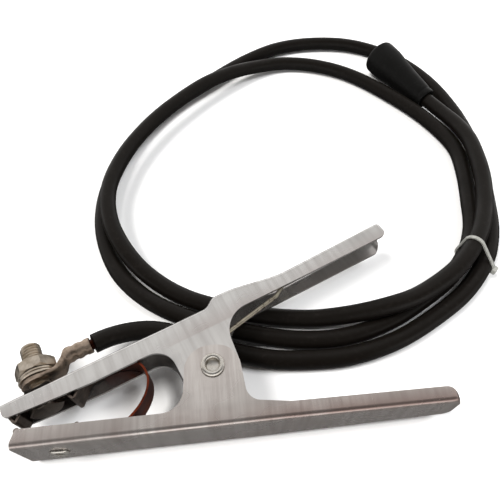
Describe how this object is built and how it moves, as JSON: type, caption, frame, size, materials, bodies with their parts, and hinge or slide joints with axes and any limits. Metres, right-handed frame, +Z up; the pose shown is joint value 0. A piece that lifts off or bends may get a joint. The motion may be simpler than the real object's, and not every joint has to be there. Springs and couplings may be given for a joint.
{
  "type": "ground clamp",
  "caption": "Sprung ground clamp for welding: two hinged channel-steel jaws with copper contacts, joined by a lug to a coiled rubber-sheathed cable with a plug.",
  "frame": {"origin": "on the table under the middle of the clamp's own box, cable and plug left out", "axes": "+X along the lower arm towards its handle end, +Y from the lower jaw to the upper one, +Z up, along the pivot axis"},
  "size_m": [0.299, 0.3296, 0.0335],
  "materials": {
    "plated_steel": "bright nickel-plated sheet steel, pressed",
    "zinc_hardware": "zinc-plated, slightly yellowed",
    "dark_steel": "blackened steel",
    "spring_steel": "plated spring wire",
    "bare_copper": null,
    "tinned_copper": "tinned copper, dull",
    "brass": "turned brass",
    "cable_rubber": "smooth black rubber sheath",
    "boot_rubber": "moulded black rubber, satin",
    "nylon": "natural nylon"
  },
  "bodies": {
    "upper_jaw": {"upper_arm": "plated_steel", "torsion_spring": "spring_steel", "upper_contact": "tinned_copper", "copper_strap": "bare_copper", "jaw_bolt": "zinc_hardware", "lock_nut": "dark_steel", "cable_lug": "tinned_copper", "flat_washer": "zinc_hardware", "spring_washer": "zinc_hardware", "terminal_nut": "zinc_hardware", "conductor_lug_end": "bare_copper", "conductor_plug_end": "bare_copper", "welding_cable": "cable_rubber", "plug_boot": "boot_rubber", "plug_pin": "brass", "plug_screw": "dark_steel", "cable_tie": "nylon"},
    "lower_jaw": {"lower_arm": "plated_steel", "lower_contact": "tinned_copper", "strap_rivet": "zinc_hardware", "pivot_rivet": "zinc_hardware", "pivot_spacer": "zinc_hardware", "pivot_bush": "dark_steel"}
  },
  "joints": [
    {"name": "jaw_hinge", "type": "hinge", "parent": "upper_jaw", "child": "lower_jaw", "pos_m": [-0.0074, -0.0238, 0.01675], "axis": [0, 0, 1], "range_deg": [0, 15], "stiffness_Nm_per_rad": 0.5, "springref_deg": -20.05, "deforming": ["torsion_spring", "copper_strap"]}
  ]
}
